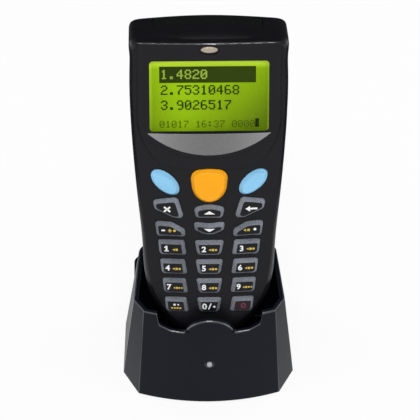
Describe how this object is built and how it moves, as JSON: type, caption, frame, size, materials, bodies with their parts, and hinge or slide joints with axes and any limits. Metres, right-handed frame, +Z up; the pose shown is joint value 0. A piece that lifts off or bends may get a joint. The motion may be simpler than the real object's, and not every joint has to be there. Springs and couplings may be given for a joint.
{
  "type": "portable data terminal",
  "caption": "Hand-held barcode data terminal with a display and keypad, standing in a desk charging cradle.",
  "frame": {"origin": "on the desk, under the middle of the cradle and the terminal standing in it", "axes": "+Z up, -Y towards the user who faces the keypad, +X to that user's right"},
  "size_m": [0.0636, 0.0704, 0.1348],
  "materials": {
    "case_black": "fine satin moulded plastic",
    "cradle_black": "fine satin moulded plastic",
    "window_clear": "clear hard-coated pane with a dark printed border",
    "lcd_panel": "yellow-green reflective display",
    "holder_white": "white moulded holder",
    "trim_silver": "satin silver-grey inlay",
    "light_lens": "milky lens",
    "scan_pane": "dark tinted pane",
    "engine_black": "matt",
    "lens_glass": "coated",
    "board_green": "solder mask",
    "chip_black": "matt",
    "cell_steel": "brushed",
    "mat_grey": "matt",
    "spring_steel": "bright",
    "contact_gold": "gold plated",
    "screw_steel": "zinc plated",
    "seal_rubber": "matt",
    "foot_rubber": "matt",
    "led_clear": "clear light pipe",
    "socket_black": "matt",
    "key_grey": "silicone with dark printed top",
    "key_orange": "silicone",
    "key_blue": "silicone"
  },
  "bodies": {
    "cradle": {"cradle_shell": "cradle_black", "cradle_base": "cradle_black", "cradle_feet": "foot_rubber", "cradle_screws": "screw_steel", "cradle_board": "board_green", "cradle_led_lens": "led_clear", "dc_jack": "socket_black", "serial_port": "socket_black", "contact_block": "socket_black", "contact_spring_left": "spring_steel", "contact_spring_right": "spring_steel"},
    "terminal": {"front_housing": "case_black", "rear_housing": "case_black", "display_window": "window_clear", "display_panel": "lcd_panel", "display_holder": "holder_white", "crescent_trim": "trim_silver", "status_light": "light_lens", "scan_window": "scan_pane", "scan_engine": "engine_black", "scan_lens": "lens_glass", "main_board": "board_green", "board_chips": "chip_black", "buzzer": "chip_black", "backup_cell": "cell_steel", "keypad_mat": "mat_grey", "battery_cells": "cell_steel", "battery_contacts": "spring_steel", "contact_pads": "contact_gold", "housing_screws": "screw_steel", "housing_seal": "seal_rubber"},
    "battery_cover": {"battery_cover": "case_black"},
    "contact_pin_left": {"contact_pin_left": "contact_gold"},
    "contact_pin_right": {"contact_pin_right": "contact_gold"},
    "key_0": {"key_0": "key_grey"},
    "key_1": {"key_1": "key_grey"},
    "key_2": {"key_2": "key_grey"},
    "key_3": {"key_3": "key_grey"},
    "key_4": {"key_4": "key_grey"},
    "key_5": {"key_5": "key_grey"},
    "key_6": {"key_6": "key_grey"},
    "key_7": {"key_7": "key_grey"},
    "key_8": {"key_8": "key_grey"},
    "key_9": {"key_9": "key_grey"},
    "key_function": {"key_function": "key_grey"},
    "key_power": {"key_power": "key_grey"},
    "key_escape": {"key_escape": "key_grey"},
    "key_backspace": {"key_backspace": "key_grey"},
    "key_minus": {"key_minus": "key_grey"},
    "key_symbol": {"key_symbol": "key_grey"},
    "key_up": {"key_up": "key_grey"},
    "key_down": {"key_down": "key_grey"},
    "key_scan": {"key_scan": "key_orange"},
    "key_left": {"key_left": "key_blue"},
    "key_right": {"key_right": "key_blue"}
  },
  "joints": [
    {"name": "terminal_lift", "type": "slide", "parent": "cradle", "child": "terminal", "axis": [0, 0.309, 0.9511], "range_m": [0, 0.075]},
    {"name": "battery_cover_hinge", "type": "hinge", "parent": "terminal", "child": "battery_cover", "pos_m": [0, 0.00414, 0.04721], "axis": [-1, 0, 0], "range_deg": [0, 70]},
    {"name": "contact_pin_left_press", "type": "slide", "parent": "cradle", "child": "contact_pin_left", "axis": [0, 0.309, 0.9511], "range_m": [-0.0008, 0], "stiffness_N_per_m": 300, "springref_m": 0.0015, "deforming": ["contact_spring_left"]},
    {"name": "contact_pin_right_press", "type": "slide", "parent": "cradle", "child": "contact_pin_right", "axis": [0, 0.309, 0.9511], "range_m": [-0.0008, 0], "stiffness_N_per_m": 300, "springref_m": 0.0015, "deforming": ["contact_spring_right"]},
    {"name": "key_0_press", "type": "slide", "parent": "terminal", "child": "key_0", "axis": [0, 0.9511, -0.309], "range_m": [0, 0.0008], "stiffness_N_per_m": 700, "springref_m": -0.0008},
    {"name": "key_1_press", "type": "slide", "parent": "terminal", "child": "key_1", "axis": [0, 0.9511, -0.309], "range_m": [0, 0.0008], "stiffness_N_per_m": 700, "springref_m": -0.0008},
    {"name": "key_2_press", "type": "slide", "parent": "terminal", "child": "key_2", "axis": [0, 0.9511, -0.309], "range_m": [0, 0.0008], "stiffness_N_per_m": 700, "springref_m": -0.0008},
    {"name": "key_3_press", "type": "slide", "parent": "terminal", "child": "key_3", "axis": [0, 0.9511, -0.309], "range_m": [0, 0.0008], "stiffness_N_per_m": 700, "springref_m": -0.0008},
    {"name": "key_4_press", "type": "slide", "parent": "terminal", "child": "key_4", "axis": [0, 0.9511, -0.309], "range_m": [0, 0.0008], "stiffness_N_per_m": 700, "springref_m": -0.0008},
    {"name": "key_5_press", "type": "slide", "parent": "terminal", "child": "key_5", "axis": [0, 0.9511, -0.309], "range_m": [0, 0.0008], "stiffness_N_per_m": 700, "springref_m": -0.0008},
    {"name": "key_6_press", "type": "slide", "parent": "terminal", "child": "key_6", "axis": [0, 0.9511, -0.309], "range_m": [0, 0.0008], "stiffness_N_per_m": 700, "springref_m": -0.0008},
    {"name": "key_7_press", "type": "slide", "parent": "terminal", "child": "key_7", "axis": [0, 0.9511, -0.309], "range_m": [0, 0.0008], "stiffness_N_per_m": 700, "springref_m": -0.0008},
    {"name": "key_8_press", "type": "slide", "parent": "terminal", "child": "key_8", "axis": [0, 0.9511, -0.309], "range_m": [0, 0.0008], "stiffness_N_per_m": 700, "springref_m": -0.0008},
    {"name": "key_9_press", "type": "slide", "parent": "terminal", "child": "key_9", "axis": [0, 0.9511, -0.309], "range_m": [0, 0.0008], "stiffness_N_per_m": 700, "springref_m": -0.0008},
    {"name": "key_function_press", "type": "slide", "parent": "terminal", "child": "key_function", "axis": [0, 0.9511, -0.309], "range_m": [0, 0.0008], "stiffness_N_per_m": 700, "springref_m": -0.0008},
    {"name": "key_power_press", "type": "slide", "parent": "terminal", "child": "key_power", "axis": [0, 0.9511, -0.309], "range_m": [0, 0.0008], "stiffness_N_per_m": 700, "springref_m": -0.0008},
    {"name": "key_escape_press", "type": "slide", "parent": "terminal", "child": "key_escape", "axis": [0, 0.9511, -0.309], "range_m": [0, 0.0008], "stiffness_N_per_m": 700, "springref_m": -0.0008},
    {"name": "key_backspace_press", "type": "slide", "parent": "terminal", "child": "key_backspace", "axis": [0, 0.9511, -0.309], "range_m": [0, 0.0008], "stiffness_N_per_m": 700, "springref_m": -0.0008},
    {"name": "key_minus_press", "type": "slide", "parent": "terminal", "child": "key_minus", "axis": [0, 0.9511, -0.309], "range_m": [0, 0.0008], "stiffness_N_per_m": 700, "springref_m": -0.0008},
    {"name": "key_symbol_press", "type": "slide", "parent": "terminal", "child": "key_symbol", "axis": [0, 0.9511, -0.309], "range_m": [0, 0.0008], "stiffness_N_per_m": 700, "springref_m": -0.0008},
    {"name": "key_up_press", "type": "slide", "parent": "terminal", "child": "key_up", "axis": [0, 0.9511, -0.309], "range_m": [0, 0.0008], "stiffness_N_per_m": 700, "springref_m": -0.0008},
    {"name": "key_down_press", "type": "slide", "parent": "terminal", "child": "key_down", "axis": [0, 0.9511, -0.309], "range_m": [0, 0.0008], "stiffness_N_per_m": 700, "springref_m": -0.0008},
    {"name": "key_scan_press", "type": "slide", "parent": "terminal", "child": "key_scan", "axis": [0, 0.9511, -0.309], "range_m": [0, 0.0008], "stiffness_N_per_m": 700, "springref_m": -0.0008},
    {"name": "key_left_press", "type": "slide", "parent": "terminal", "child": "key_left", "axis": [0, 0.9511, -0.309], "range_m": [0, 0.0008], "stiffness_N_per_m": 700, "springref_m": -0.0008},
    {"name": "key_right_press", "type": "slide", "parent": "terminal", "child": "key_right", "axis": [0, 0.9511, -0.309], "range_m": [0, 0.0008], "stiffness_N_per_m": 700, "springref_m": -0.0008}
  ]
}
